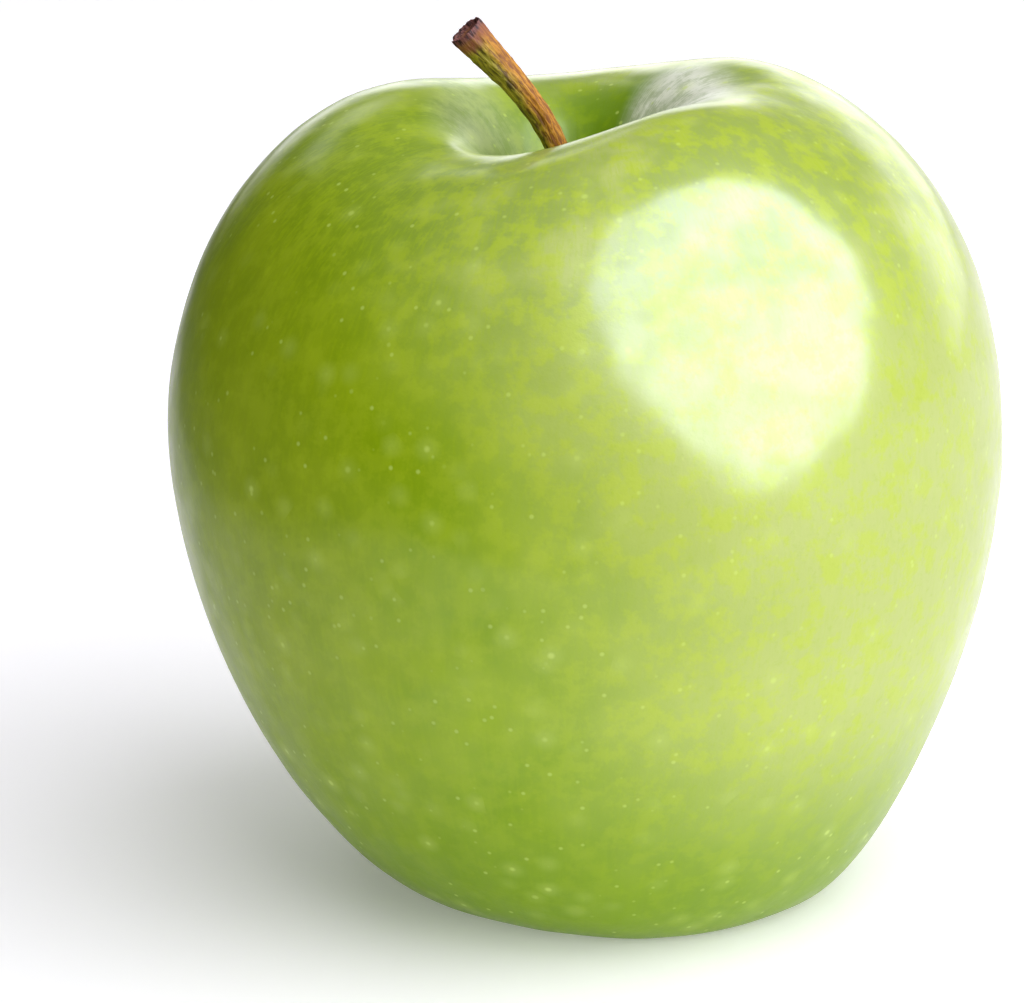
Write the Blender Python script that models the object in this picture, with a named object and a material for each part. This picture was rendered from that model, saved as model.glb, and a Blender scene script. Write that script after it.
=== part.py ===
"""A whole green apple: the fruit, its woody stem and the dried calyx in the hollow underneath.

Lengths are in metres. +Z is up, -Y is the front and +X is to the right.
The fruit stands on the five low bumps round the hollow in its base.
"""

from math import atan2, cos, pi, radians, sin

import bmesh
import bpy
from mathutils import Vector

# The fruit's body, seen from the front. A word with SIDE is what the right side has more
# than the middle, and what the left side has less.
GIRTH_RADIUS = 0.0400
GIRTH_HEIGHT = 0.0451
GIRTH_HEIGHT_SIDE = 0.0005
CROWN_HEIGHT = 0.0774
CROWN_HEIGHT_SIDE = 0.0017
CROWN_HEIGHT_BACK = -0.0001
CROWN_RADIUS = 0.0162
CROWN_RADIUS_SIDE = -0.0006
CROWN_RADIUS_BACK = 0.0008
FOOT_RADIUS = 0.0177

# How full the shoulder and the flank are: the reach of their curves' handles
SHOULDER_OUT = 0.0097
SHOULDER_OUT_SIDE = -0.0044
SHOULDER_UP = 0.0214
SHOULDER_UP_SIDE = 0.0054
FLANK_DOWN = 0.0186
FLANK_DOWN_SIDE = 0.0022
FLANK_IN = 0.0089
FLANK_IN_SIDE = -0.0041

# The crown's unevenness: two opposite high sides, three more, and the five lobes
SADDLE_RISE = 0.0009
SADDLE_TURN = radians(-21)
TRIPLE_RISE = 0.00093
TRIPLE_TURN = radians(45)
LOBE_COUNT = 5
LOBE_TURN = radians(-12)
LOBE_CROWN_RISE = 0.00012
LOBE_CROWN_TURN = radians(24)
LOBE_GIRTH = 0.0002
LOBE_FOOT_RISE = 0.00015

# The core leans and bends to the side: its place at the foot, half way up and at the crown
CORE_FOOT_X = 0.0048
CORE_MIDDLE_X = 0.0002
CORE_CROWN_X = 0.0004

# The hollow that the stem grows in, and the socket at its bottom. The hollow's lip is rounded
# most in the direction of the turn, at the back right, and least opposite.
CAVITY_DEPTH = 0.0197
CAVITY_ROUNDING = 0.72
CAVITY_ROUNDING_MORE = 0.28
CAVITY_ROUNDING_TURN = radians(29)
THROAT_RADIUS = 0.0030
THROAT_OUT = 0.0020
THROAT_UP = 0.0090
SOCKET_RADIUS = 0.0019
SOCKET_DEPTH = 0.0022

# The hollow in the base, and the flats that the fruit rests on
BASIN_DEPTH = 0.0085
BASIN_FLOOR_RADIUS = 0.0046
BASIN_ROUNDING = 0.0045
BASIN_FLOOR_ROUNDING = 0.0015
FLAT_CUT = 0.00012

# The stem: a curve from the socket to the cut end, thicker at both ends
STEM_GAP = 0.0003
STEM_RISE = 0.0184
STEM_BEND = Vector((-0.0046, -0.0017, 0.0768))
STEM_TIP = Vector((-0.0117, -0.0026, 0.0849))
STEM_RADIUS = 0.00110
STEM_BASE_RADIUS = 0.00145
STEM_END_RADIUS = 0.00178
STEM_FLARE = 0.0055
STEM_END_SWEEP = 1.5
STEM_RIM_RADIUS = 0.00128
STEM_DISH_RADIUS = 0.0008
STEM_DISH = 0.0006

# The bark's ridges: how many stand round the stem, how high as a share of its radius, and
# how far they twist from its base to its end
STEM_RIDGES = ((3, 0.033, 2), (5, 0.022, -4))

# The calyx: a small cup with five dried sepals curling out of it
SEPAL_COUNT = 5
SEPAL_WIDTH = 0.0019
SEPAL_THICKNESS = 0.0005
SEPAL_RIPPLE = 0.0002
SEPAL_CUPPING = 0.0012
SEPAL_ROOT = Vector((0.0020, 0.0006))
SEPAL_REACHES = ((0, 0), (0.0006, -0.0022), (-0.0003, -0.0040), (0.0022, -0.0047))
CUP_TOP_RADIUS = 0.00216
CUP_RADIUS = 0.0027
CUP_LIP_RADIUS = 0.0024
CUP_HOLLOW_RADIUS = 0.0016
CUP_FLOOR_RADIUS = 0.00112
CUP_HEIGHT = 0.0016
CUP_SHOULDER_DROP = 0.00048
CUP_HOLLOW_DEPTH = 0.0009

# How finely the shapes are divided. The crowding draws the fruit's rings together at its
# foot, so that several of them lie on each flat.
FRUIT_SIDES = 72
CAVITY_STEPS = 12
SHOULDER_STEPS = 12
FLANK_STEPS = 16
BASIN_STEPS = 11
FOOT_CROWDING = 1.6
STEM_SIDES = 20
STEM_RINGS = 32
CUP_SIDES = 20
SEPAL_ROWS = 8
SEPAL_COLUMNS = 4
SMALL_STEP = 0.01
SMOOTH_SKIN = radians(50)
SMOOTH_WOOD = radians(40)


def clear_scene():
    """Remove whatever the file holds, so that only the apple is left."""
    for old in list(bpy.data.objects):
        bpy.data.objects.remove(old, do_unlink=True)


def curve_point(start, start_handle, end_handle, end, t):
    """The point at t (0 to 1) of a cubic curve between two ends with handles."""
    s = 1 - t
    return start * s**3 + start_handle * 3 * s**2 * t + end_handle * 3 * s * t**2 + end * t**3


def curve_points(start, start_handle, end_handle, end, steps, crowd_start=1, crowd_end=1):
    """The points of one (radius, height) curve, without its last one."""
    corners = [Vector(corner) for corner in (start, start_handle, end_handle, end)]
    shares = [1 - (1 - (step / steps) ** crowd_start) ** crowd_end for step in range(steps)]
    return [curve_point(*corners, share) for share in shares]


def core_x(height):
    """How far to the side the fruit's core lies at a height."""
    level = height / CROWN_HEIGHT - 0.5
    slope = CORE_CROWN_X - CORE_FOOT_X
    bend = 2 * (CORE_CROWN_X + CORE_FOOT_X - 2 * CORE_MIDDLE_X)
    return CORE_MIDDLE_X + slope * level + bend * level**2


def crown_height(turn):
    """The height of the shoulder's highest line in the direction turn."""
    return (
        CROWN_HEIGHT
        + CROWN_HEIGHT_SIDE * cos(turn)
        + CROWN_HEIGHT_BACK * sin(turn)
        + SADDLE_RISE * cos(2 * (turn - SADDLE_TURN))
        + TRIPLE_RISE * cos(3 * (turn - TRIPLE_TURN))
        + LOBE_CROWN_RISE * cos(LOBE_COUNT * (turn - LOBE_CROWN_TURN))
    )


def meridian(turn):
    """(radius, height) down the skin in one direction, from the socket to the basin's floor."""
    side = cos(turn)
    lobe = cos(LOBE_COUNT * (turn - LOBE_TURN))
    crown = crown_height(turn)
    crown_radius = CROWN_RADIUS + CROWN_RADIUS_SIDE * side + CROWN_RADIUS_BACK * sin(turn)
    girth_height = GIRTH_HEIGHT + GIRTH_HEIGHT_SIDE * side
    girth = GIRTH_RADIUS + LOBE_GIRTH * lobe
    shoulder_out = SHOULDER_OUT + SHOULDER_OUT_SIDE * side
    shoulder_up = girth_height + SHOULDER_UP + SHOULDER_UP_SIDE * side
    flank_down = girth_height - FLANK_DOWN - FLANK_DOWN_SIDE * side
    flank_in = FOOT_RADIUS + FLANK_IN + FLANK_IN_SIDE * side
    foot = LOBE_FOOT_RISE * (1 - lobe) - FLAT_CUT
    throat = CROWN_HEIGHT - CAVITY_DEPTH
    rounding = CAVITY_ROUNDING + CAVITY_ROUNDING_MORE * cos(turn - CAVITY_ROUNDING_TURN)
    lip = crown_radius - rounding * (crown_radius - THROAT_RADIUS)

    socket = [
        Vector((SOCKET_RADIUS, throat - SOCKET_DEPTH)),
        Vector((SOCKET_RADIUS, throat - SOCKET_DEPTH / 2)),
        Vector((SOCKET_RADIUS, throat)),
    ]
    cavity = curve_points(
        (THROAT_RADIUS, throat),
        (THROAT_RADIUS + THROAT_OUT, throat + THROAT_UP),
        (lip, crown),
        (crown_radius, crown),
        steps=CAVITY_STEPS,
    )
    shoulder = curve_points(
        (crown_radius, crown),
        (crown_radius + shoulder_out, crown),
        (girth, shoulder_up),
        (girth, girth_height),
        steps=SHOULDER_STEPS,
    )
    flank = curve_points(
        (girth, girth_height),
        (girth, flank_down),
        (flank_in, foot),
        (FOOT_RADIUS, foot),
        steps=FLANK_STEPS,
        crowd_end=FOOT_CROWDING,
    )
    basin = curve_points(
        (FOOT_RADIUS, foot),
        (FOOT_RADIUS - BASIN_ROUNDING, foot),
        (BASIN_FLOOR_RADIUS + BASIN_FLOOR_ROUNDING, BASIN_DEPTH / 2),
        (BASIN_FLOOR_RADIUS, BASIN_DEPTH),
        steps=BASIN_STEPS,
        crowd_start=FOOT_CROWDING,
    )
    floor = [Vector((BASIN_FLOOR_RADIUS, BASIN_DEPTH))]
    return socket + cavity + shoulder + flank + basin + floor


def fruit_rings():
    """The fruit's rings of points from the socket's bottom, over the shoulder, to the basin."""
    turns = [2 * pi * step / FRUIT_SIDES for step in range(FRUIT_SIDES)]
    meridians = [meridian(turn) for turn in turns]
    rings = []
    for level in zip(*meridians):
        ring = []
        for turn, (radius, height) in zip(turns, level):
            height = max(height, 0.0)
            ring.append(Vector((core_x(height) + radius * cos(turn), radius * sin(turn), height)))
        rings.append(ring)
    return rings


def loft(name, rings):
    """A closed mesh through rings of points, with a fan of triangles over each end."""
    mesh = bpy.data.meshes.new(name)
    shape = bmesh.new()
    lines = [[shape.verts.new(point) for point in ring] for ring in rings]
    for upper, lower in zip(lines, lines[1:]):
        for index, corner in enumerate(upper):
            after = (index + 1) % len(upper)
            shape.faces.new((corner, upper[after], lower[after], lower[index]))
    ends = [shape.faces.new(lines[0]), shape.faces.new(lines[-1])]
    bmesh.ops.poke(shape, faces=ends)
    bmesh.ops.recalc_face_normals(shape, faces=shape.faces)
    shape.to_mesh(mesh)
    shape.free()
    return mesh


def finish(name, mesh, material, smooth_angle):
    """An object of the mesh, shaded smooth except across edges sharper than the angle."""
    mesh.shade_smooth()
    mesh.set_sharp_from_angle(angle=smooth_angle)
    mesh.materials.append(material)
    part = bpy.data.objects.new(name, mesh)
    bpy.context.scene.collection.objects.link(part)
    return part


def make_material(name, colour, roughness):
    """A plain surface. The colour is linear red, green and blue."""
    material = bpy.data.materials.new(name)
    material.use_nodes = True
    shader = material.node_tree.nodes["Principled BSDF"]
    shader.inputs["Base Color"].default_value = (*colour, 1)
    shader.inputs["Roughness"].default_value = roughness
    shader.inputs["Metallic"].default_value = 0
    return material


def make_fruit():
    """The fruit, one solid from the cavity's socket to the basin."""
    skin = make_material("green_skin", (0.29, 0.43, 0.03), 0.25)
    return finish("fruit", loft("fruit", fruit_rings()), skin, SMOOTH_SKIN)


def stem_radius(t, length):
    """The stem's radius at t (0 at its base, 1 at its cut end)."""
    from_base = t * length
    from_end = (1 - t) * length
    base = (STEM_BASE_RADIUS - STEM_RADIUS) * max(0, 1 - from_base / STEM_FLARE) ** 2
    flare = (STEM_END_RADIUS - STEM_RADIUS) * max(0, 1 - from_end / STEM_FLARE) ** STEM_END_SWEEP
    return STEM_RADIUS + base + flare


def stem_ring(centre, along, radius, t):
    """One ring of the stem, with the ridges of its dried bark."""
    across = along.cross(Vector((0, 1, 0))).normalized()
    depth = along.cross(across)
    ring = []
    for step in range(STEM_SIDES):
        turn = 2 * pi * step / STEM_SIDES
        ridges = sum(rise * cos(count * turn + twist * t) for count, rise, twist in STEM_RIDGES)
        reach = radius * (1 + ridges)
        ring.append(centre + across * reach * cos(turn) + depth * reach * sin(turn))
    return ring


def stem_rings():
    """The stem's rings from its base to its cut end, and down into the dish of the cut."""
    base_height = CROWN_HEIGHT - CAVITY_DEPTH - SOCKET_DEPTH + STEM_GAP
    base = Vector((core_x(base_height), 0, base_height))
    corners = (base, base + Vector((0, 0, STEM_RISE)), STEM_BEND, STEM_TIP)
    centres = [curve_point(*corners, step / STEM_RINGS) for step in range(STEM_RINGS + 1)]
    length = sum((after - before).length for before, after in zip(centres, centres[1:]))
    rings = []
    for step, centre in enumerate(centres):
        before = centres[max(step - 1, 0)]
        after = centres[min(step + 1, STEM_RINGS)]
        along = (after - before).normalized()
        t = step / STEM_RINGS
        rings.append(stem_ring(centre, along, stem_radius(t, length), t))
    dish_centre = STEM_TIP - along * STEM_DISH
    rings.append(stem_ring(STEM_TIP, along, STEM_RIM_RADIUS, 1))
    rings.append(stem_ring(dish_centre, along, STEM_DISH_RADIUS, 1))
    return rings


def make_stem():
    """The woody stem, standing in its socket and leaning over the left rim."""
    bark = make_material("stem_bark", (0.22, 0.10, 0.02), 0.7)
    return finish("stem", loft("stem", stem_rings()), bark, SMOOTH_WOOD)


def cup_rings(centre_x, top):
    """The calyx's cup, mouth down: over its top, down its wall and up into its hollow."""
    lip = top - CUP_HEIGHT
    outline = [
        (CUP_TOP_RADIUS, top),
        (CUP_RADIUS, top - CUP_SHOULDER_DROP),
        (CUP_LIP_RADIUS, lip),
        (CUP_HOLLOW_RADIUS, lip),
        (CUP_FLOOR_RADIUS, lip + CUP_HOLLOW_DEPTH),
    ]
    rings = []
    for radius, height in outline:
        turns = [2 * pi * step / CUP_SIDES for step in range(CUP_SIDES)]
        ring = [(centre_x + radius * cos(turn), radius * sin(turn), height) for turn in turns]
        rings.append([Vector(point) for point in ring])
    return rings


def sepal_mesh(name, centre_x, lip, turn):
    """One dried sepal: a thin wavy blade that leaves the cup's lip and curls outwards."""
    root = Vector((0, lip)) + SEPAL_ROOT
    corners = [root + Vector(reach) for reach in SEPAL_REACHES]
    faces = {+1: [], -1: []}
    for row in range(SEPAL_ROWS + 1):
        t = row / SEPAL_ROWS
        here = curve_point(*corners, t)
        along = curve_point(*corners, t + SMALL_STEP) - here
        thickness = Vector((-along.y, along.x)).normalized() * SEPAL_THICKNESS / 2
        fullness = 1 - t**2
        width = SEPAL_WIDTH * fullness + SEPAL_THICKNESS
        for face, rows in faces.items():
            points = []
            for column in range(SEPAL_COLUMNS + 1):
                across = column / SEPAL_COLUMNS - 0.5
                radius, height = here + thickness * face
                wave = SEPAL_RIPPLE * cos(2 * pi * (across + t)) - SEPAL_CUPPING * across**2
                angle = turn + atan2(across * width, radius)
                reach = radius + wave * fullness
                points.append(Vector((centre_x + reach * cos(angle), reach * sin(angle), height)))
            rows.append(points)
    return loft(name, [outer + inner[::-1] for outer, inner in zip(faces[+1], faces[-1])])


def make_calyx():
    """The dried calyx: five sepals joined to one cup in the basin, clear of its floor."""
    top = BASIN_DEPTH - STEM_GAP
    centre_x = core_x(top)
    dry = make_material("dry_calyx", (0.10, 0.06, 0.025), 0.9)
    calyx = finish("calyx", loft("calyx", cup_rings(centre_x, top)), dry, SMOOTH_WOOD)
    sepals = bpy.data.collections.new("sepals")
    bpy.context.scene.collection.children.link(sepals)
    for index in range(SEPAL_COUNT):
        name = f"sepal_{index + 1}"
        turn = LOBE_TURN + 2 * pi * index / SEPAL_COUNT
        mesh = sepal_mesh(name, centre_x, top - CUP_HEIGHT, turn)
        sepals.objects.link(bpy.data.objects.new(name, mesh))
    union = calyx.modifiers.new("join the sepals", "BOOLEAN")
    union.operation = "UNION"
    union.operand_type = "COLLECTION"
    union.collection = sepals
    bpy.context.view_layer.objects.active = calyx
    bpy.ops.object.modifier_apply(modifier=union.name)
    for sepal in list(sepals.objects):
        bpy.data.objects.remove(sepal, do_unlink=True)
    bpy.data.collections.remove(sepals)
    return calyx


def main():
    clear_scene()
    make_fruit()
    make_stem()
    make_calyx()


main()
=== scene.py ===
# %% [markdown]
# # A whole green apple
#
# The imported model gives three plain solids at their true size: the fruit, its stem and the
# dried calyx underneath. This lesson gives each of them the look of the real thing. The
# solids are never moved or changed. Every new piece is laid over the solid that it stands
# for, so that it keeps that solid's place and size.

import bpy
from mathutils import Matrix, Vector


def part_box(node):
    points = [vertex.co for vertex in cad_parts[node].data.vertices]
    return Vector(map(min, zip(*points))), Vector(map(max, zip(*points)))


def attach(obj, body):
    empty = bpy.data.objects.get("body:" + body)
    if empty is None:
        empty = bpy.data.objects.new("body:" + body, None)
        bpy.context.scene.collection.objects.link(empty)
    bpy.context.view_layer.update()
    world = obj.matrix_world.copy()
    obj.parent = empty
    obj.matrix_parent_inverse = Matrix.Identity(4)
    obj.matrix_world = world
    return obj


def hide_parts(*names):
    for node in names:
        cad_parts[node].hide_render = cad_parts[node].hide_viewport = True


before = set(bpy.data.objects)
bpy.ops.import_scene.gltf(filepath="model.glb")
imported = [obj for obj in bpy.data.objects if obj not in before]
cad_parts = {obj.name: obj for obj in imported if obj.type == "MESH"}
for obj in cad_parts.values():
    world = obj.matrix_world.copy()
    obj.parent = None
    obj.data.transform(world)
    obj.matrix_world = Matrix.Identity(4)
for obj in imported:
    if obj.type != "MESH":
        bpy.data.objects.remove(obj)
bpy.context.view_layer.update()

# %% [markdown]
# ## Tools for modelling
#
# By hand, one clicks on a piece, goes into edit mode and picks the faces to work on. A script
# does the same in words. `editing` opens a piece for as long as its block lasts, and `pick`
# selects corners, edges or faces by a rule on their place. Both start by deselecting
# everything, because an operator acts on all that is selected.

# %% Open a piece, and pick parts of it
import math
import random
from contextlib import contextmanager
from types import SimpleNamespace

import bmesh
import bpy
from mathutils import Vector

MM = 0.001


def select_only(piece):
    """Deselect all, then make one piece the selected and active one."""
    bpy.ops.object.select_all(action="DESELECT")
    piece.select_set(True)
    bpy.context.view_layer.objects.active = piece


@contextmanager
def editing(piece):
    """Hold a piece in edit mode, with all of it selected at first."""
    select_only(piece)
    bpy.ops.object.mode_set(mode="EDIT")
    bpy.ops.mesh.select_all(action="SELECT")
    yield
    bpy.ops.object.mode_set(mode="OBJECT")


def pick(piece, kind, wanted):
    """In edit mode, select only the parts of a kind (VERT, EDGE or FACE) that a rule wants."""
    bpy.ops.mesh.select_mode(type=kind)
    bpy.ops.mesh.select_all(action="DESELECT")
    shape = bmesh.from_edit_mesh(piece.data)
    parts = {"VERT": shape.verts, "EDGE": shape.edges, "FACE": shape.faces}[kind]
    chosen = [part for part in parts if wanted(part)]
    for part in chosen:
        part.select_set(True)
    bmesh.update_edit_mesh(piece.data)
    return len(chosen)


def add_modifier(piece, kind, **settings):
    """Put a modifier with these settings on a piece and apply it."""
    select_only(piece)
    modifier = piece.modifiers.new(kind.lower(), kind)
    for setting, value in settings.items():
        setattr(modifier, setting, value)
    bpy.ops.object.modifier_apply(modifier=modifier.name)


def round_off(piece, levels):
    """Divide a piece's faces and round its form."""
    add_modifier(piece, "SUBSURF", levels=levels, render_levels=levels)


def noise_field(name, size, depth=2, kind="CLOUDS"):
    """A cloudy field for a Displace modifier, with lumps of about one size."""
    field = bpy.data.textures.new(name, kind)
    field.noise_scale = size
    if kind == "CLOUDS":
        field.noise_depth = depth
    return field


def triangle_count(piece):
    """How many triangles a piece has."""
    return sum(len(face.vertices) - 2 for face in piece.data.polygons)


# %% [markdown]
# ## The fruit's skin
#
# The skin of a fresh fruit is one taut, glossy surface, and gloss shows every flat facet. The
# solid has the right form in flat facets. So a copy of it is welded, its triangles are joined
# into the four-sided faces that they came from, and a Subdivision Surface rounds them. The
# solid's socket for the stem is no part of the real fruit, so the copy's is cut out, and the
# bottom of the hollow is drawn in round the stem by hand, with a few extrusions.

# %% Weld a copy of the fruit and join its triangles
WELD = 0.001 * MM


def welded_copy(node, name):
    """A new piece with a welded copy of a CAD node's mesh, in four-sided faces where it can."""
    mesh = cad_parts[node].data.copy()
    mesh.materials.clear()
    piece = bpy.data.objects.new(name, mesh)
    bpy.context.scene.collection.objects.link(piece)
    with editing(piece):
        bpy.ops.mesh.remove_doubles(threshold=WELD)
        bpy.ops.mesh.tris_convert_to_quads(face_threshold=math.pi, shape_threshold=math.pi)
    return piece


skin = welded_copy("fruit", "skin")
print("welded skin:", len(skin.data.vertices), "corners,", len(skin.data.polygons), "faces")

# %% Draw the hollow in round the stem
stem_low, stem_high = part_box("stem")
stem_points = [corner.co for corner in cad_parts["stem"].data.vertices]
stem_foot = [point for point in stem_points if point.z < stem_low.z + 0.1 * MM]
crown_axis = sum(stem_foot, Vector()) / len(stem_foot)
THROAT_RADIUS = 3.1 * MM
THROAT_STEPS = ((0.72, 0.5 * MM), (0.65, 1.0 * MM))
SOCKET_LOWEST = 0.6


def axis_distance(point, axis):
    """How far a point is from an upright line."""
    return math.hypot(point.x - axis.x, point.y - axis.y)


def near_axis(part_centre, axis, radius, low, high):
    """Whether a place is within a radius of an upright axis, between two heights."""
    return axis_distance(part_centre, axis) < radius and low < part_centre.z < high


throat_points = [
    corner.co.z
    for corner in skin.data.vertices
    if near_axis(corner.co, crown_axis, THROAT_RADIUS, stem_low.z, stem_high.z)
]
throat_height = max(throat_points)


def close_hole(piece, axis, height, steps):
    """Extrude a hole's edge inwards and down in steps of (shrink, sink), and fill the rest."""
    pick(piece, "EDGE", lambda edge: edge.is_boundary)
    centre = (axis.x, axis.y, height)
    for shrink, sink in steps:
        bpy.ops.mesh.extrude_region_move(TRANSFORM_OT_translate={"value": (0, 0, -sink)})
        bpy.ops.transform.resize(value=(shrink, shrink, 1), center_override=centre)
    bpy.ops.mesh.edge_face_add()


with editing(skin):
    in_socket = lambda face: near_axis(
        face.calc_center_median(),
        crown_axis,
        THROAT_RADIUS,
        SOCKET_LOWEST * throat_height,
        throat_height + WELD,
    )
    removed = pick(skin, "FACE", in_socket)
    bpy.ops.mesh.delete(type="FACE")
    close_hole(skin, crown_axis, throat_height, THROAT_STEPS)
print("throat at", round(throat_height / MM, 1), "mm,", removed, "socket faces removed")

# %% Draw the basin's floor in under the calyx
calyx_low, calyx_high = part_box("calyx")
basin_axis = (calyx_low + calyx_high) / 2
BASIN_STEPS = ((0.7, -0.35 * MM), (0.5, -0.15 * MM))
BASIN_FLOOR_RADIUS = 5 * MM
LEVEL = 0.99

with editing(skin):
    on_floor = lambda face: (
        near_axis(
            face.calc_center_median(), basin_axis, BASIN_FLOOR_RADIUS, calyx_high.z, 2 * calyx_high.z
        )
        and abs(face.normal.z) > LEVEL
    )
    removed = pick(skin, "FACE", on_floor)
    bpy.ops.mesh.delete(type="FACE")
    close_hole(skin, basin_axis, calyx_high.z, BASIN_STEPS)
print("basin floor redrawn,", removed, "faces replaced")

# %% [markdown]
# A grown fruit is never as even as a lathe would make it. Two Displace modifiers press soft
# dents into the rounded skin: broad ones that bend the reflections, and small ones that make
# their edges tremble. They only press inwards, so the skin stays within the solid's box.

# %% Round the skin and press soft dents into it
BROAD_DENTS = (13 * MM, 0.30 * MM)
SMALL_DENTS = (4 * MM, 0.05 * MM)

round_off(skin, levels=2)
for number, (size, depth) in enumerate((BROAD_DENTS, SMALL_DENTS)):
    field = noise_field(f"dents_{number}", size)
    add_modifier(skin, "DISPLACE", texture=field, texture_coords="LOCAL", strength=depth, mid_level=0.75)
select_only(skin)
bpy.ops.object.shade_smooth()
print("skin:", triangle_count(skin), "triangles")

# %% [markdown]
# ## Paint for surfaces
#
# A procedural material is a sum: this noise times that mask, plus a bit of another. Such sums
# are easier to read as plain sums than as lists of nodes. `Value` stands for an output socket,
# and adding or multiplying two values adds the Math node for it. `Paint` is the node tree of
# one material, and its `node` method adds any other node.

# %% Sums that build shader nodes
class Value:
    """A number, colour or vector that changes over the surface."""

    def __init__(self, paint, socket):
        self.paint = paint
        self.socket = socket

    def math(self, operation, *others):
        """One Math node on this value and others."""
        values = dict(enumerate((self, *others)))
        return self.paint.node("Math", {"operation": operation}, values)

    def __add__(self, other):
        return self.math("ADD", other)

    def __mul__(self, other):
        return self.math("MULTIPLY", other)

    def __sub__(self, other):
        return self.math("SUBTRACT", other)

    def __rsub__(self, other):
        return self.paint.node("Math", {"operation": "SUBTRACT"}, {0: other, 1: self})

    __radd__ = __add__
    __rmul__ = __mul__

    def between(self, low, high):
        """0 below low, 1 above high, and a soft step from one to the other."""
        values = {"Value": self, "From Min": low, "From Max": high}
        return self.paint.node("MapRange", {"interpolation_type": "SMOOTHSTEP"}, values)


class Nodes:
    """A node tree that is built from sums."""

    MIX_FACTOR, MIX_FROM, MIX_TO, MIX_RESULT = 0, 6, 7, 2

    def __init__(self, tree):
        self.tree = tree

    def feed(self, socket, value):
        """Link a value to a socket, or set the socket to a plain number or colour."""
        if isinstance(value, Value):
            self.tree.links.new(value.socket, socket)
        else:
            socket.default_value = value

    def node(self, kind, settings=None, values=None, output=0):
        """Add a node of a kind, with settings and socket values, and give one output."""
        node = self.tree.nodes.new("ShaderNode" + kind)
        for setting, value in (settings or {}).items():
            setattr(node, setting, value)
        for socket, value in (values or {}).items():
            self.feed(node.inputs[socket], value)
        return Value(self, node.outputs[output])

    def mix(self, factor, start, end):
        """The colour that is start where factor is 0 and end where it is 1."""
        values = {self.MIX_FACTOR: factor, self.MIX_FROM: start, self.MIX_TO: end}
        settings = {"data_type": "RGBA", "clamp_factor": True}
        return self.node("Mix", settings, values, output=self.MIX_RESULT)

    def scaled(self, vector, scale):
        """A vector with each axis stretched by its own number."""
        return self.node("VectorMath", {"operation": "MULTIPLY"}, {0: vector, 1: scale})

    def axes(self, vector):
        """The x, y and z of a vector."""
        return [self.node("SeparateXYZ", None, {0: vector}, output=axis) for axis in "XYZ"]

    def noise(self, vector, size, detail=2.0, roughness=0.5, swirl=0.0):
        """Cloudy noise from 0 to 1, with lumps of about one size in millimetres."""
        values = {"Vector": vector, "Scale": 1 / size, "Detail": detail, "Roughness": roughness}
        return self.node("TexNoise", None, values | {"Distortion": swirl})


class Paint(Nodes):
    """The nodes of one material, with its constant numbers set on the shader's sockets."""

    def __init__(self, name, **constants):
        self.material = bpy.data.materials.new(name)
        self.material.use_nodes = True
        super().__init__(self.material.node_tree)
        self.shader = self.tree.nodes["Principled BSDF"]
        for socket, value in constants.items():
            self.shader.inputs[socket.replace("_", " ")].default_value = value

    def place(self):
        """The place on the piece, in millimetres."""
        return self.scaled(self.node("TexCoord", output="Object"), (1 / MM,) * 3)

    def bumps(self, height, depth):
        """The surface normal over small bumps: a height from 0 to 1 is worth depth at 1."""
        return self.node("Bump", None, {"Height": height, "Distance": depth, "Strength": 1.0})

    def finish(self, piece, **sockets):
        """Feed the shader what changes over the surface, and put the material on a piece."""
        for socket, value in sockets.items():
            self.feed(self.shader.inputs[socket.replace("_", " ")], value)
        piece.data.materials.clear()
        piece.data.materials.append(self.material)


def screen(red, green, blue):
    """A colour as seen on a screen, 0 to 255 each, turned into the light that it stands for."""
    light = []
    for level in (red, green, blue):
        share = level / 255
        light.append(share / 12.92 if share <= 0.04045 else ((share + 0.055) / 1.055) ** 2.4)
    return (*light, 1.0)


# %% [markdown]
# ## The skin's finish
#
# A green skin has five layers to the eye. The ground is a clear green with paler clouds and
# small mottles. Painted light lies on it: paler and yellower towards the key light, which is
# partly the skin's own side that faced the sun, and painted shade, duller on the left and
# deeper green at the foot and in the hollow. Fine streaks run over it from stem to foot.
# Hundreds of small pale breathing pores follow, the larger ones with a milky rim. A painted
# white reflection lies on the slope into the hollow. A thin wax covers it all: that is the
# shader's coat, weaker in the hollow, at the foot and on the shaded side. The streaks need a
# coordinate that follows the fruit round and down. The direction from the core and the height
# less the distance from the core do that, both over the flank and down into the hollow.

# %% Coordinates that follow the fruit
def fruit_coordinates(paint):
    """The place, the distance from the core, and the streak coordinates."""
    place = paint.place()
    x, y, z = paint.axes(place)
    from_core = (x - crown_axis.x / MM, y - crown_axis.y / MM)
    distance = (from_core[0] * from_core[0] + from_core[1] * from_core[1]).math("SQRT")
    safe = distance.math("MAXIMUM", 0.5)
    around = (from_core[0].math("DIVIDE", safe), from_core[1].math("DIVIDE", safe))
    down = z - distance
    follow = paint.node("CombineXYZ", None, {"X": around[0], "Y": around[1], "Z": down})
    return place, (x, y, z), distance, follow


# %% Noise and places on the skin
# The fruit's radius and the sizes of the lumps, all in millimetres
GIRTH_RADIUS = 40
CLOUD_SIZE = 8
WAX_SPOT_SIZE = 5
MOTTLE_SIZE = 2.4
GRAIN_SIZE = 0.8
# Streaks: (width in millimetres, how much they are drawn out, as a factor on the height)
FINE_STREAKS = (0.42, 0.22)
BROAD_STREAKS = (4, 0.25)


def streaky_noise(paint, follow, streaks, detail):
    """Noise that is drawn out from the stem to the foot."""
    width, drawn_out = streaks
    return paint.noise(paint.scaled(follow, (GIRTH_RADIUS, GIRTH_RADIUS, drawn_out)), width, detail)


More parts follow.
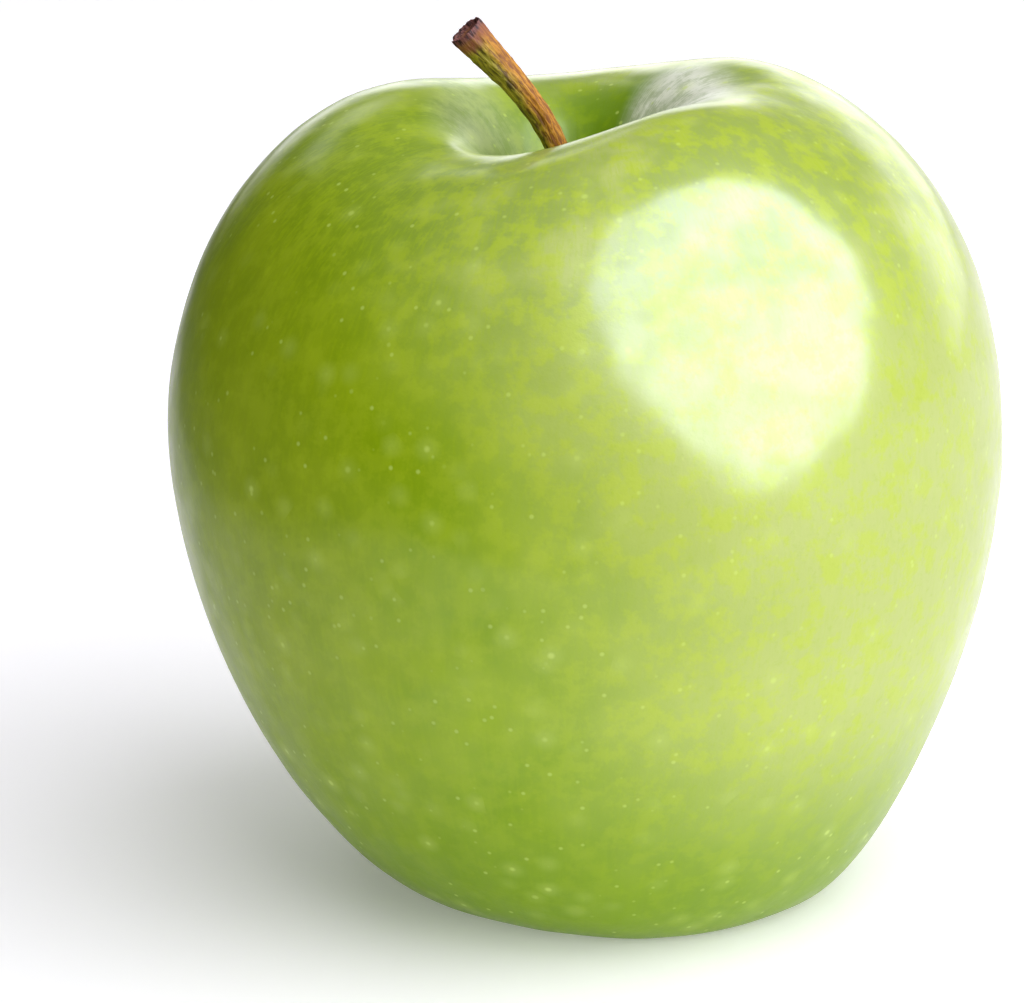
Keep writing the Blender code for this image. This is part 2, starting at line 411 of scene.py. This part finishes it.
def read_skin(paint):
    """The noise and the soft places, 0 outside and 1 inside, that the skin's paint uses."""
    place, (x, y, z), distance, follow = fruit_coordinates(paint)
    at = SimpleNamespace(place=place)
    at.clouds = paint.noise(place, CLOUD_SIZE, detail=3)
    at.mottles = paint.noise(place, MOTTLE_SIZE, detail=4, roughness=0.65)
    at.grain = paint.noise(place, GRAIN_SIZE, detail=3, roughness=0.7)
    at.wax = paint.noise(place, WAX_SPOT_SIZE, detail=3, roughness=0.6)
    at.streaks = streaky_noise(paint, follow, FINE_STREAKS, detail=3)
    at.broad_streaks = streaky_noise(paint, follow, BROAD_STREAKS, detail=2)

    # z is the height over the floor, and distance is from the core, both in millimetres
    at.shoulder = z.between(56, 74)
    at.foot = 1 - z.between(4, 30)
    at.hollow = z.between(52, 60) * (1 - distance.between(9, 18))
    at.hollow_floor = at.hollow * (1 - distance.between(5, 13))
    at.slope = z.between(60, 68) * distance.between(4.5, 7.5) * (1 - distance.between(12, 16))
    at.sideways = (x - crown_axis.x / MM).math("DIVIDE", distance)

    # Painted light, partly the skin's own side that faced the sun: paler and yellower towards
    # the key light on the right, a little in front and above, and less towards the shaded foot
    above = (z - 40).math("MAXIMUM", 0)
    towards_sun_and_light = x + above * 0.7 - y * 0.15 + at.clouds * 8
    at.sunny = towards_sun_and_light.between(-2, 34) * (0.25 + z.between(0, 26) * 0.75)
    # The left side, turned away from the light, gets painted shade
    at.shaded = (x * -1).between(8, 34)
    return at


# %% The greens of the skin
DEEP = screen(98, 134, 0)
CLEAR = screen(133, 165, 0)
PALE = screen(156, 183, 16)
FRESH = screen(170, 196, 14)
SOFT = screen(188, 208, 48)
SUNNY_LIT_YELLOW = screen(186, 200, 112)
PAINTED_SHADE_DULL = screen(138, 150, 34)
MILKY = screen(204, 224, 112)
PAINTED_REFLECTION_WHITE = screen(240, 243, 226)


def ground_colour(paint, at):
    """Clear green with clouds, mottles and streaks, with painted light and painted shade: paler and
    yellower towards the key light, partly the side that faced the sun, and duller on the shaded left.
    """
    paleness = at.clouds.between(0.36, 0.70) * 0.5 + at.broad_streaks.between(0.4, 0.7) * 0.3
    colour = paint.mix(paleness, CLEAR, PALE)
    colour = paint.mix(at.sunny, colour, SUNNY_LIT_YELLOW)
    colour = paint.mix(at.shoulder * 0.4 * (1 - at.clouds.between(0.45, 0.7)), colour, DEEP)
    # Painted shade: a duller, greyer green on the left side
    colour = paint.mix(at.shaded * 0.45, colour, PAINTED_SHADE_DULL)
    # The mottles show more where the painted light falls
    mottled = at.mottles.between(0.44, 0.62) * (0.16 + at.sunny * 0.44)
    colour = paint.mix(mottled, colour, SOFT)
    colour = paint.mix(at.grain.between(0.5, 0.8) * 0.25, colour, PALE)
    return paint.mix(at.streaks.between(0.42, 0.72) * (0.12 + at.shoulder * 0.18), colour, FRESH)


def add_hollow(paint, at, colour):
    """Painted shade: deeper green in the hollow, most on its right wall, and at the foot; and a painted
    white reflection on the slope's two sides.
    """
    # Painted shade in the hollow, most on its right wall, which faces away from the light, and at the
    # foot
    shaded_right_wall = at.sideways.between(-0.6, 0.2)
    depth = at.hollow * (0.35 + shaded_right_wall * 0.55) + at.foot * 0.55
    colour = paint.mix(depth, colour, DEEP)
    flecks = at.mottles.between(0.46, 0.66) * at.hollow_floor
    colour = paint.mix(flecks * 0.2, colour, SOFT)
    # Painted reflection: white streaks on the slope into the hollow, strongest on its right side
    smears = 0.5 + (at.streaks * 0.35 + at.mottles * 0.65).between(0.38, 0.55) * 0.5
    right, left = at.sideways.between(0.40, 0.80), (at.sideways * -1).between(0.5, 0.9)
    return paint.mix(at.slope * (right * 0.95 + left * 0.2) * smears, colour, PAINTED_REFLECTION_WHITE)


# %% [markdown]
# The breathing pores lie scattered, as grain does when it is sown. A Voronoi node gives such
# scattered points: the distance to the nearest one draws a round spot, and the colour that it
# gives each point serves as that point's own chance, so that only some of them become pores.

# %% The breathing pores
# How far apart the points lie, and (radius, softness) of the spots, all in millimetres
SMALL_PORE_SPACING = 1.7
LARGE_PORE_SPACING = 3.4
SMALL_PORE = (0.20, 0.10)
LARGE_PORE = (0.30, 0.16)
PORE_HALO = (0.9, 0.8)


def scatter(paint, place, spacing):
    """Scattered points: the distance to the nearest in millimetres, and its own chance."""
    values = {"Vector": place, "Scale": 1 / spacing, "Randomness": 1.0}
    distance = paint.node("TexVoronoi", None, values, output="Distance")
    colour = Value(paint, distance.socket.node.outputs["Color"])
    chance = paint.node("SeparateColor", None, {0: colour}, output=0)
    return distance * spacing, chance


def spot(distance, radius, softness):
    """1 in the middle of a round spot and 0 outside it."""
    return 1 - distance.between(radius - softness, radius + softness)


def add_pores(paint, at, colour):
    """Many small pale pores, and some larger ones with a milky halo."""
    small_away, small_chance = scatter(paint, at.place, SMALL_PORE_SPACING)
    large_away, large_chance = scatter(paint, at.place, LARGE_PORE_SPACING)
    is_small = small_chance.between(0.2, 0.45)
    is_large = large_chance.between(0.40, 0.7)
    colour = paint.mix(spot(large_away, *PORE_HALO) * is_large * 0.20, colour, MILKY)
    colour = paint.mix(spot(small_away, *SMALL_PORE) * is_small * 0.45, colour, MILKY)
    return paint.mix(spot(large_away, *LARGE_PORE) * is_large * 0.55, colour, MILKY)


# %% Put the finish on the skin
SKIN_RELIEF = 0.06 * MM


def paint_skin():
    """The skin's colour, its waxy coat and its fine relief."""
    paint = Paint("green_skin", IOR=1.45, Specular_IOR_Level=0.06, Coat_Roughness=0.17)
    at = read_skin(paint)
    colour = ground_colour(paint, at)
    colour = add_hollow(paint, at, colour)
    colour = add_pores(paint, at, colour)
    kept = (1 - at.foot * 0.6) * (1 - at.shaded * 0.45) * (1 - at.hollow * 0.85)
    relief = at.grain * 0.35 + at.mottles * 0.8 + at.broad_streaks * 0.6
    paint.finish(
        skin,
        Base_Color=colour,
        Roughness=0.34 + at.wax.between(0.3, 0.75) * 0.10 + at.grain * 0.04,
        Coat_Weight=(0.8 - at.wax.between(0.35, 0.7) * 0.25) * kept,
        Normal=paint.bumps(relief, SKIN_RELIEF),
    )
    print("skin's finish:", len(paint.tree.nodes), "nodes")


paint_skin()

# %% [markdown]
# ## The stem
#
# The stem is a woody twig that dried as it grew: thicker where it left the tree, with bark
# that has shrunk into long wrinkles. A twig is modelled straight first, because a straight
# one is easy to extrude and to wrinkle evenly, and a Curve modifier bends it last. The bark's
# paint needs the straight shape too, so that shape is kept in an attribute before the bend.

# %% The curve that the stem grew along
STEM_RISE = 18.4 * MM
STEM_BEND = Vector((-4.6, -1.7, 76.8)) * MM
STEM_TIP = Vector((-11.7, -2.6, 84.9)) * MM

bpy.ops.object.select_all(action="DESELECT")
bpy.ops.curve.primitive_bezier_curve_add()
route = bpy.context.object
route.data.twist_mode = "MINIMUM"
first, last = route.data.splines[0].bezier_points
for point in (first, last):
    point.handle_left_type = "FREE"
    point.handle_right_type = "FREE"
first.co = crown_axis
first.handle_right = crown_axis + Vector((0, 0, STEM_RISE))
first.handle_left = crown_axis - Vector((0, 0, STEM_RISE))
last.co = STEM_TIP
last.handle_left = STEM_BEND
last.handle_right = STEM_TIP + (STEM_TIP - STEM_BEND)
stem_length = route.data.splines[0].calc_length()
print("stem length:", round(stem_length / MM, 1), "mm")

# %% Extrude the straight stem
STEM_SIDES = 32
STEM_WAIST = 1.06 * MM
STEM_FOOT = 1.28
# How thick the stem is along its length: (place from 0 to 1, thickness in waists)
STEM_STATIONS = (
    (0.04, 1.22),
    (0.10, 1.10),
    (0.20, 1.02),
    (0.32, 1.00),
    (0.44, 1.02),
    (0.56, 1.08),
    (0.66, 1.15),
    (0.75, 1.23),
    (0.83, 1.33),
    (0.90, 1.46),
    (0.95, 1.60),
    (0.985, 1.72),
)
# The rim and the dish of the cut end: (step inwards, step up), in millimetres
CUT_STEPS = ((0.22, 0.10), (0.25, -0.25), (0.45, -0.30))

bpy.ops.object.select_all(action="DESELECT")
bpy.ops.mesh.primitive_circle_add(vertices=STEM_SIDES, radius=STEM_FOOT * STEM_WAIST, fill_type="NGON")
stem = bpy.context.object
stem.name = "stem_bark"
with editing(stem):
    at, thickness = 0.0, STEM_FOOT
    for next_at, next_thickness in STEM_STATIONS:
        rise = (next_at - at) * stem_length
        swell = next_thickness / thickness
        bpy.ops.mesh.extrude_region_move(TRANSFORM_OT_translate={"value": (0, 0, rise)})
        bpy.ops.transform.resize(value=(swell, swell, 1))
        at, thickness = next_at, next_thickness
    for inwards, up in CUT_STEPS:
        bpy.ops.mesh.inset(thickness=inwards * MM, depth=up * MM)
    bpy.ops.mesh.select_all(action="SELECT")
    bpy.ops.mesh.normals_make_consistent(inside=False)
print("straight stem:", len(stem.data.polygons), "faces")

# %% [markdown]
# Displace modifiers wrinkle the straight stem. The first one reads its noise through an empty
# that is stretched along the stem, so its lumps come out as long wrinkles. The second adds
# small pits. The last one frays the cut end alone: a vertex group holds how much of it each
# corner takes, from all at the very end to nothing a millimetre further down.

# %% Wrinkle the bark
WRINKLE_WIDTH = 0.50 * MM
WRINKLE_LENGTH = 2.8 * MM
WRINKLE_DEPTH = 0.36 * MM
PIT_SIZE = 0.45 * MM
PIT_DEPTH = 0.10 * MM

round_off(stem, levels=3)
stretch = bpy.data.objects.new("stretch", None)
stretch.scale = (WRINKLE_WIDTH, WRINKLE_WIDTH, WRINKLE_LENGTH)
bpy.context.scene.collection.objects.link(stretch)
bpy.context.view_layer.update()
add_modifier(
    stem,
    "DISPLACE",
    texture=noise_field("wrinkles", 1.0, depth=3),
    texture_coords="OBJECT",
    texture_coords_object=stretch,
    strength=WRINKLE_DEPTH,
    mid_level=0.62,
)
add_modifier(
    stem,
    "DISPLACE",
    texture=noise_field("pits", PIT_SIZE, depth=2),
    texture_coords="LOCAL",
    strength=PIT_DEPTH,
    mid_level=0.6,
)
bpy.data.objects.remove(stretch)

# %% Fray the cut end, keep the straight shape, and bend the stem
FRAYED_LENGTH = 0.9 * MM
FRAYED_SIZE = 0.8 * MM
FRAYED_DEPTH = 0.55 * MM

cut_end = stem.vertex_groups.new(name="cut_end")
for corner in stem.data.vertices:
    share = 1 - (stem_length - corner.co.z) / FRAYED_LENGTH
    if share > 0:
        cut_end.add([corner.index], min(share, 1), "REPLACE")
add_modifier(
    stem,
    "DISPLACE",
    texture=noise_field("frayed", FRAYED_SIZE, depth=2),
    texture_coords="LOCAL",
    vertex_group="cut_end",
    direction="RGB_TO_XYZ",
    strength=FRAYED_DEPTH,
)

straight = stem.data.attributes.new("straight", "FLOAT_VECTOR", "POINT")
for corner, kept in zip(stem.data.vertices, straight.data):
    kept.vector = corner.co
add_modifier(stem, "CURVE", object=route, deform_axis="POS_Z")
bpy.data.objects.remove(route)
select_only(stem)
bpy.ops.object.shade_smooth()
print("stem:", triangle_count(stem), "triangles")


# %% [markdown]
# The bark is orange-brown where it has dried and olive where it is still green. A thin net of
# straw-coloured fibres runs over both, and the cut end is a dark red-brown. All of it follows
# the twig as it bends, so the paint reads the straight shape: its height is the way along the
# stem, and its x and y go round it.

# %% Paint the bark
def paint_stem():
    """Streaked brown on the stem's lit side, olive on the other, and the dark cut end."""
    paint = Paint("stem_bark", IOR=1.45, Specular_IOR_Level=0.2)
    straight = paint.node("Attribute", {"attribute_name": "straight"}, output="Vector")
    place = paint.scaled(straight, (1 / MM,) * 3)
    x, y, z = paint.axes(place)
    length = stem_length / MM
    fibres = paint.noise(paint.scaled(place, (1, 1, 0.22)), 0.30, detail=3, roughness=0.6, swirl=0.5)
    patches = paint.noise(paint.scaled(place, (1, 1, 0.35)), 1.4, detail=2)
    towards_end = z.between(0.55 * length, 0.95 * length)
    lit_side = (patches * 1.4 - 0.55 - x - towards_end * 0.9).between(-0.8, 0.5)

    orange = screen(208, 142, 26)
    brown = screen(142, 82, 8)
    straw = screen(238, 196, 116)
    olive = screen(160, 148, 34)
    dark = screen(78, 66, 12)
    collar = screen(140, 76, 48)
    cut = screen(128, 78, 70)
    cut_dark = screen(46, 22, 18)

    bark = paint.mix(fibres.between(0.38, 0.60), brown, orange)
    green = paint.mix(fibres.between(0.36, 0.60), dark, olive)
    colour = paint.mix(lit_side, green, bark)
    colour = paint.mix(fibres.between(0.60, 0.76) * 0.45, colour, straw)
    near_cut = (z + patches * 1.8).between(length - 2.0, length - 0.6)
    colour = paint.mix(near_cut * 0.8, colour, collar)
    cut_edge = (z + patches * 1.2).between(length - 0.7, length - 0.2)
    cut_colour = paint.mix(fibres.between(0.40, 0.60), cut_dark, cut)
    colour = paint.mix(cut_edge, colour, cut_colour)
    paint.finish(
        stem,
        Base_Color=colour,
        Roughness=0.5 + fibres * 0.35,
        Normal=paint.bumps(fibres, 0.08 * MM),
    )


paint_stem()

# %% [markdown]
# ## The calyx
#
# Under the fruit, in its basin, sits what is left of the blossom: five dried leaves round a
# small cup with a tuft of withered threads. A leaf is grown as by hand: a short arc of the
# cup's rim is extruded row by row, and each row is moved on, and made wider or narrower. One
# leaf is modelled, and turned copies of it make the five, each a little different.

# %% Grow one dried leaf from an arc of the cup's rim
LEAF_COUNT = 5
LEAF_TURN = 0.2
LEAF_STRETCH = (0.85, 1.05)
RIM_SIDES = 24
RIM_RADIUS = 2.15 * MM
RIM_HEIGHT = calyx_high.z - 0.5 * MM
LEAF_THICKNESS = 0.20 * MM
LEAF_ARC = math.radians(31)
# Each row of a leaf: (step out, step down, width as a share of the row before)
LEAF_ROWS = (
    (-0.22, 0.85, 1.12),
    (-0.16, 0.90, 1.02),
    (0.00, 0.90, 0.94),
    (0.22, 0.85, 0.86),
    (0.50, 0.70, 0.76),
    (0.68, 0.42, 0.62),
    (0.60, 0.05, 0.45),
)
DRY_WARP = (1.3 * MM, 0.35 * MM)


def in_arc(corner):
    """Whether a corner is on the arc of the rim that a leaf grows from."""
    return abs(math.atan2(corner.co.y, corner.co.x)) < LEAF_ARC


def model_leaf():
    """A pointed leaf that hangs from the rim on the +X side and curls outwards at its tip."""
    bpy.ops.object.select_all(action="DESELECT")
    bpy.ops.mesh.primitive_circle_add(vertices=RIM_SIDES, radius=RIM_RADIUS)
    leaf = bpy.context.object
    with editing(leaf):
        pick(leaf, "VERT", lambda corner: not in_arc(corner))
        bpy.ops.mesh.delete(type="VERT")
        bpy.ops.mesh.select_all(action="SELECT")
        for out, down, share in LEAF_ROWS:
            step = (out * MM, 0, -down * MM)
            bpy.ops.mesh.extrude_region_move(TRANSFORM_OT_translate={"value": step})
            bpy.ops.transform.resize(value=(1, share, 1))
    add_modifier(leaf, "SOLIDIFY", thickness=LEAF_THICKNESS, offset=0)
    return leaf


def turned_copy(piece, turn, stretch=1.0):
    """A copy with its own mesh, turned about the upright axis and stretched in height."""
    copy = piece.copy()
    copy.data = piece.data.copy()
    bpy.context.scene.collection.objects.link(copy)
    with editing(copy):
        bpy.ops.transform.resize(value=(1, 1, stretch), center_override=(0, 0, 0))
        bpy.ops.transform.rotate(value=turn, orient_axis="Z", center_override=(0, 0, 0))
    return copy


def join(pieces, name):
    """Make one piece of several."""
    select_only(pieces[0])
    for piece in pieces[1:]:
        piece.select_set(True)
    bpy.ops.object.join()
    pieces[0].name = name
    return pieces[0]


chance = random.Random(5)
first_leaf = model_leaf()
leaves = [
    turned_copy(first_leaf, math.tau * number / LEAF_COUNT + LEAF_TURN, chance.uniform(*LEAF_STRETCH))
    for number in range(LEAF_COUNT)
]
bpy.data.objects.remove(first_leaf)
calyx = join(leaves, "dry_calyx")
print("calyx leaves:", triangle_count(calyx), "triangles")

# %% [markdown]
# The cup that the leaves stand on is a shallow ring of dry flesh. The withered threads inside
# it are modelled in the same way as the leaves: one thread with a small knob at its end, and
# a dozen copies that are turned, stretched and scattered.

# %% Add the cup and the tuft of withered threads
CUP_STEPS = ((0.93, -0.35), (0.90, -0.15), (0.86, 0.10), (0.80, 0.35))
CUP_RADIUS = RIM_RADIUS + 0.35 * MM
THREAD_COUNT = 13
THREAD_SIDES = 6
THREAD_TURN = 2.4
THREAD_STRETCH = (0.6, 1.15)
THREAD_RADIUS = 0.09 * MM
THREAD_RING = 0.75 * MM
THREAD_STEPS = ((0.05, 0.7, 0.95), (0.10, 0.7, 0.95), (0.18, 0.6, 1.0), (0.2, 0.4, 1.0))
KNOB_STEPS = ((0.05, 0.10, 2.2), (0.05, 0.22, 1.1), (0.02, 0.14, 0.5))


def model_cup():
    """A shallow ring of dry flesh, closed on its inner side."""
    bpy.ops.object.select_all(action="DESELECT")
    bpy.ops.mesh.primitive_circle_add(vertices=RIM_SIDES, radius=CUP_RADIUS, fill_type="NGON")
    cup = bpy.context.object
    with editing(cup):
        for share, rise in CUP_STEPS:
            bpy.ops.mesh.extrude_region_move(TRANSFORM_OT_translate={"value": (0, 0, rise * MM)})
            bpy.ops.transform.resize(value=(share, share, 1), center_override=(0, 0, 0))
    return cup


def model_thread():
    """One withered thread that hangs down near the axis, with a knob at its end."""
    bpy.ops.object.select_all(action="DESELECT")
    bpy.ops.mesh.primitive_circle_add(
        vertices=THREAD_SIDES, radius=THREAD_RADIUS, fill_type="NGON", location=(THREAD_RING, 0, 0)
    )
    thread = bpy.context.object
    bpy.ops.object.transform_apply(location=True)
    with editing(thread):
        for out, down, share in THREAD_STEPS + KNOB_STEPS:
            step = (out * MM, 0, -down * MM)
            bpy.ops.mesh.extrude_region_move(TRANSFORM_OT_translate={"value": step})
            bpy.ops.transform.resize(value=(share, share, 1))
    return thread


first_thread = model_thread()
threads = [
    turned_copy(first_thread, THREAD_TURN * number, chance.uniform(*THREAD_STRETCH))
    for number in range(THREAD_COUNT)
]
bpy.data.objects.remove(first_thread)
calyx = join([calyx, model_cup(), *threads], "dry_calyx")
round_off(calyx, levels=2)
warp_size, warp_depth = DRY_WARP
add_modifier(
    calyx,
    "DISPLACE",
    texture=noise_field("dry_warp", warp_size),
    texture_coords="LOCAL",
    direction="RGB_TO_XYZ",
    strength=warp_depth,
)
with editing(calyx):
    bpy.ops.transform.translate(value=(basin_axis.x, basin_axis.y, RIM_HEIGHT))
    bpy.ops.mesh.normals_make_consistent(inside=False)
select_only(calyx)
bpy.ops.object.shade_smooth()
print("calyx:", triangle_count(calyx), "triangles")

# %% [markdown]
# Dried leaves of a blossom are a dull grey-brown with a felt of pale hair, darker towards
# their tips, and still a little green where they join the fruit. The height below the rim
# blends one into the other.

# %% Paint the calyx
def paint_calyx():
    """Dull felted brown, greener at the rim and darker at the tips."""
    paint = Paint("dry_calyx", IOR=1.45)
    place = paint.place()
    x, y, z = paint.axes(place)
    felt = paint.noise(place, 0.25, detail=3, roughness=0.7)
    patches = paint.noise(place, 1.2, detail=2)
    drop = (RIM_HEIGHT / MM - z + patches * 1.5).between(0.6, 4.6)
    green = screen(112, 110, 52)
    tan = screen(128, 100, 62)
    dark = screen(58, 42, 26)
    hair = screen(186, 174, 140)
    colour = paint.mix(drop.between(0.0, 0.45), green, tan)
    colour = paint.mix(drop.between(0.35, 1.0), colour, dark)
    colour = paint.mix(felt.between(0.5, 0.75) * 0.5, colour, hair)
    paint.finish(
        calyx,
        Base_Color=colour,
        Roughness=0.75 + felt * 0.2,
        Normal=paint.bumps(felt, 0.05 * MM),
    )


paint_calyx()

# %% [markdown]
# ## Floor, light and camera
#
# The studio is plain and pale. The floor glows a little by itself, which keeps it white
# towards the horizon. Round the place where the shadow falls it glows less, so that the
# shadow stays. A glossy skin shows the whole studio, also what the camera leaves out: the
# left part of the floor looks grey to the apple, as the unlit side of a studio is, and that
# grey is what makes the apple's left side dull. The camera itself sees the floor pale all over.

# %% The pale floor
FLOOR_WIDTH = 2.4
FLOOR_DEPTH = 2.6
FLOOR_FRONT = -0.135
FLOOR_GLOW = 0.32
# The shadow's middle on the floor and the distances from it, in millimetres
SHADOW_GLOW = 0.17
SHADOW_MIDDLE = (-62, 8)
SHADOW_NEAR = 25
SHADOW_FAR = 110
# Where the floor turns grey on the left, and over what width, in millimetres
GREY_EDGE = -95
GREY_FADE = 80
GREY = screen(120, 120, 120)
PALE_GREY = screen(248, 246, 252)

bpy.ops.object.select_all(action="DESELECT")
bpy.ops.mesh.primitive_plane_add(size=1)
floor = bpy.context.object
floor.name = "floor"
with editing(floor):
    bpy.ops.transform.resize(value=(FLOOR_WIDTH, FLOOR_DEPTH, 1))
    bpy.ops.transform.translate(value=(0, FLOOR_DEPTH / 2 + FLOOR_FRONT, 0))


def paint_floor():
    """A pale floor, dimmer round the shadow, and grey on the left in reflections alone."""
    paint = Paint("pale_floor", Roughness=0.9, IOR=1.2, Emission_Strength=FLOOR_GLOW)
    x, y, z = paint.axes(paint.place())
    across, along = x - SHADOW_MIDDLE[0], y - SHADOW_MIDDLE[1]
    distance = (across * across + along * along).math("SQRT")
    dimmest = SHADOW_GLOW / FLOOR_GLOW
    glow = dimmest + distance.between(SHADOW_NEAR, SHADOW_FAR) * (1 - dimmest)
    seen = paint.node("LightPath", output="Is Camera Ray")
    is_pale = x.between(GREY_EDGE - GREY_FADE, GREY_EDGE).math("MAXIMUM", seen)
    paint.finish(floor, Base_Color=paint.mix(is_pale, GREY, PALE_GREY), Emission_Color=glow * is_pale)


paint_floor()

# %% [markdown]
# The soft light from the right does two things: it lights the skin and it shows in the gloss.
# Two lamps share that work, because their sizes are judged by different signs. `key_light` is
# broad and gives the soft shading and the shadow. `key_sheen` is seen in the gloss only, as the
# one broad highlight, so its size, its outline and its slight blue are read from that
# highlight. A lamp from above and one from the front fill in the shade.

# %% Soft lights
LOOK_AT = Vector((0, 0, 45)) * MM


def direction(right_of_front, height):
    """The direction from the apple to a light, from two angles in degrees."""
    turn, rise = math.radians(right_of_front), math.radians(height)
    return Vector((math.cos(rise) * math.sin(turn), -math.cos(rise) * math.cos(turn), math.sin(rise)))


def softbox(name, towards, distance, size, brightness, shape="RECTANGLE", **shown):
    """A flat soft light that faces the apple, with the brightness of its cloth."""
    data = bpy.data.lights.new(name, "AREA")
    data.shape = shape
    data.size, data.size_y = size
    area = size[0] * size[1] * (math.pi / 4 if shape == "ELLIPSE" else 1)
    data.energy = brightness * math.pi * area
    light = bpy.data.objects.new(name, data)
    bpy.context.scene.collection.objects.link(light)
    light.location = LOOK_AT + towards * distance
    light.rotation_euler = towards.to_track_quat("Z", "Y").to_euler()
    for ray, seen in shown.items():
        setattr(light, ray, seen)
    return light


# Each lamp: its name, direction, distance in metres, size in metres and brightness
KEY = direction(46, 45)
KEY_SHEEN = direction(54.5, 41.5)
FRONT = direction(0, 17)
UP = direction(0, 90)
softbox("key_light", KEY, 1.00, (1.33, 1.67), 1.75, visible_glossy=False)
sheen_size = (0.75, 1.04)
key_sheen = softbox("key_sheen", KEY_SHEEN, 0.50, sheen_size, 13.624, "ELLIPSE", visible_diffuse=False)
key_sheen.data.color = (0.76, 0.82, 1.0)
softbox("top_light", UP, 1.20, (1.6, 1.6), 1.0, visible_glossy=False)
softbox("front_light", FRONT, 1.50, (1.2, 1.2), 1.2, visible_glossy=False)

# %% [markdown]
# The room is what the skin mirrors where there is no lamp and no floor. A bright wall behind
# draws the white line along the shoulders. A window high at the back lights the left of the
# crown. The right is paler than the left, and the front, where the camera stands, is dark. The
# glow from under the horizon joins the floor's front edge to the dark front without a line.

# %% The room round the apple
ROOM_BEHIND = 2.4
ROOM_WINDOW = 1.8
ROOM_RIGHT = 0.33
ROOM_LEFT = 0.07
ROOM_FRONT = 0.015
ROOM_UNDER = 0.5


def paint_room():
    """How bright the room is by direction: x is to the right, y to the back and z up."""
    world = bpy.data.worlds.new("studio")
    bpy.context.scene.world = world
    world.use_nodes = True
    room = Nodes(world.node_tree)
    x, y, z = room.axes(room.node("TexCoord", output="Generated"))
    low = 1 - (z - x * 0.12).between(0.16, 0.34)
    behind = (y + x * 0.35).between(0.74, 0.92) * low
    aside = x.math("DIVIDE", y.math("MAXIMUM", 0.01))
    across = aside.between(-0.66, -0.46) * (1 - aside.between(-0.24, -0.06))
    window = across * z.between(0.36, 0.44) * (1 - z.between(0.48, 0.58))
    right = x.between(0.55, 0.85) * (1 - z.between(0.15, 0.5))
    left = (x * -1).between(0.86, 0.97) * low
    light = ROOM_FRONT + behind * ROOM_BEHIND + right * ROOM_RIGHT + left * ROOM_LEFT
    light = light + window * ROOM_WINDOW + (z * -1).between(-0.05, 0.42) * ROOM_UNDER
    seen = room.node("LightPath", output="Is Camera Ray")
    background = world.node_tree.nodes["Background"]
    room.feed(background.inputs["Strength"], light.math("MAXIMUM", seen))
    background.inputs["Color"].default_value = (1, 1, 1, 1)


paint_room()
bpy.context.scene.view_settings.view_transform = "Standard"

# %% [markdown]
# The camera looks a little down on the apple, as the picture does. It stands far off with a
# long lens, so that the apple's near and far parts keep nearly the same scale.

# %% The camera, at the picture's angle
PICTURE_WIDTH = 1024
FOCAL_PIXELS = 6252.8
SENSOR_WIDTH = 36
CAMERA_TILT = math.radians(16.56)
CAMERA_DISTANCE = 600 * MM
CAMERA_TARGET = Vector((-7.0, 0, 37.8)) * MM

camera_data = bpy.data.cameras.new("camera")
camera_data.sensor_width = SENSOR_WIDTH
camera_data.lens = FOCAL_PIXELS / PICTURE_WIDTH * SENSOR_WIDTH
camera_data.clip_start = 0.01
camera = bpy.data.objects.new("camera", camera_data)
bpy.context.scene.collection.objects.link(camera)
away = Vector((0, -math.cos(CAMERA_TILT), math.sin(CAMERA_TILT)))
camera.location = CAMERA_TARGET + away * CAMERA_DISTANCE
camera.rotation_euler = (math.pi / 2 - CAMERA_TILT, 0, 0)
bpy.context.scene.camera = camera
print("lens:", round(camera_data.lens, 1), "mm")

# %% [markdown]
# ## Join the pieces to the model
#
# Each new piece rides on the model's one body and takes the place of its solid.

# %% Ride and replace
for piece, node, slot in (
    (skin, "fruit", "skin"),
    (stem, "stem", "stem_bark"),
    (calyx, "calyx", "dry_calyx"),
):
    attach(piece, "root")
    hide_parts(node)
